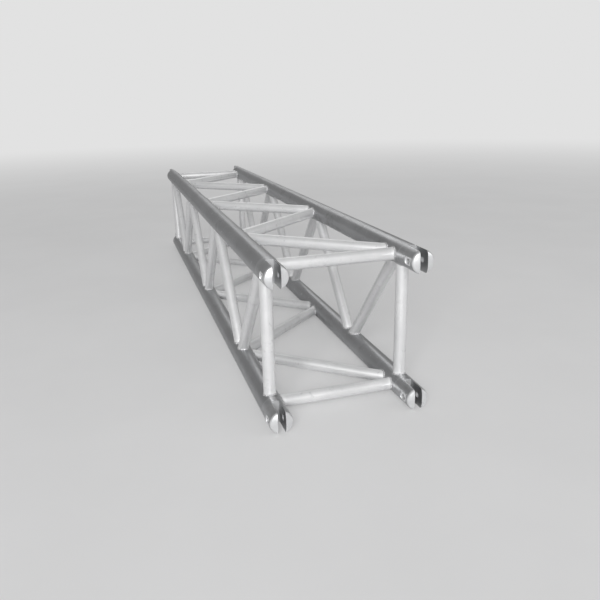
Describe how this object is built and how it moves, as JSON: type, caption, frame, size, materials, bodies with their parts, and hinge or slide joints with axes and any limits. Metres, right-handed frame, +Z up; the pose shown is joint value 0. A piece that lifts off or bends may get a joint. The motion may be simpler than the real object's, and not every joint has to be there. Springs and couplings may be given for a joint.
{
  "type": "lighting truss section",
  "caption": "Square box truss section of round aluminium tube, laced on every face, with pinned fork couplers at one end and tongue couplers at the other.",
  "frame": {"origin": "middle of the section's footprint, on the ground under the two lower chords", "axes": "+Y along the section from the forks to the tongues, +X to the right, +Z up"},
  "size_m": [0.35, 1.852, 0.35],
  "materials": {
    "chord_tube": "mill finish drawn tube",
    "brace_tube": "brushed tube",
    "fork_coupler": "turned and milled",
    "tongue_coupler": "turned and milled"
  },
  "bodies": {
    "root": {"chord_top_left": "chord_tube", "chord_top_right": "chord_tube", "chord_bottom_left": "chord_tube", "chord_bottom_right": "chord_tube", "fork_top_left": "fork_coupler", "fork_top_right": "fork_coupler", "fork_bottom_left": "fork_coupler", "fork_bottom_right": "fork_coupler", "tongue_top_left": "tongue_coupler", "tongue_top_right": "tongue_coupler", "tongue_bottom_left": "tongue_coupler", "tongue_bottom_right": "tongue_coupler", "brace_front_top": "brace_tube", "brace_front_bottom": "brace_tube", "brace_front_left": "brace_tube", "brace_front_right": "brace_tube", "brace_rear_top": "brace_tube", "brace_rear_bottom": "brace_tube", "brace_rear_left": "brace_tube", "brace_rear_right": "brace_tube", "diagonal_top_1": "brace_tube", "diagonal_top_2": "brace_tube", "diagonal_top_3": "brace_tube", "diagonal_top_4": "brace_tube", "diagonal_top_5": "brace_tube", "diagonal_top_6": "brace_tube", "diagonal_bottom_1": "brace_tube", "diagonal_bottom_2": "brace_tube", "diagonal_bottom_3": "brace_tube", "diagonal_bottom_4": "brace_tube", "diagonal_bottom_5": "brace_tube", "diagonal_bottom_6": "brace_tube", "diagonal_left_1": "brace_tube", "diagonal_left_2": "brace_tube", "diagonal_left_3": "brace_tube", "diagonal_left_4": "brace_tube", "diagonal_left_5": "brace_tube", "diagonal_left_6": "brace_tube", "diagonal_right_1": "brace_tube", "diagonal_right_2": "brace_tube", "diagonal_right_3": "brace_tube", "diagonal_right_4": "brace_tube", "diagonal_right_5": "brace_tube", "diagonal_right_6": "brace_tube"}
  },
  "joints": []
}
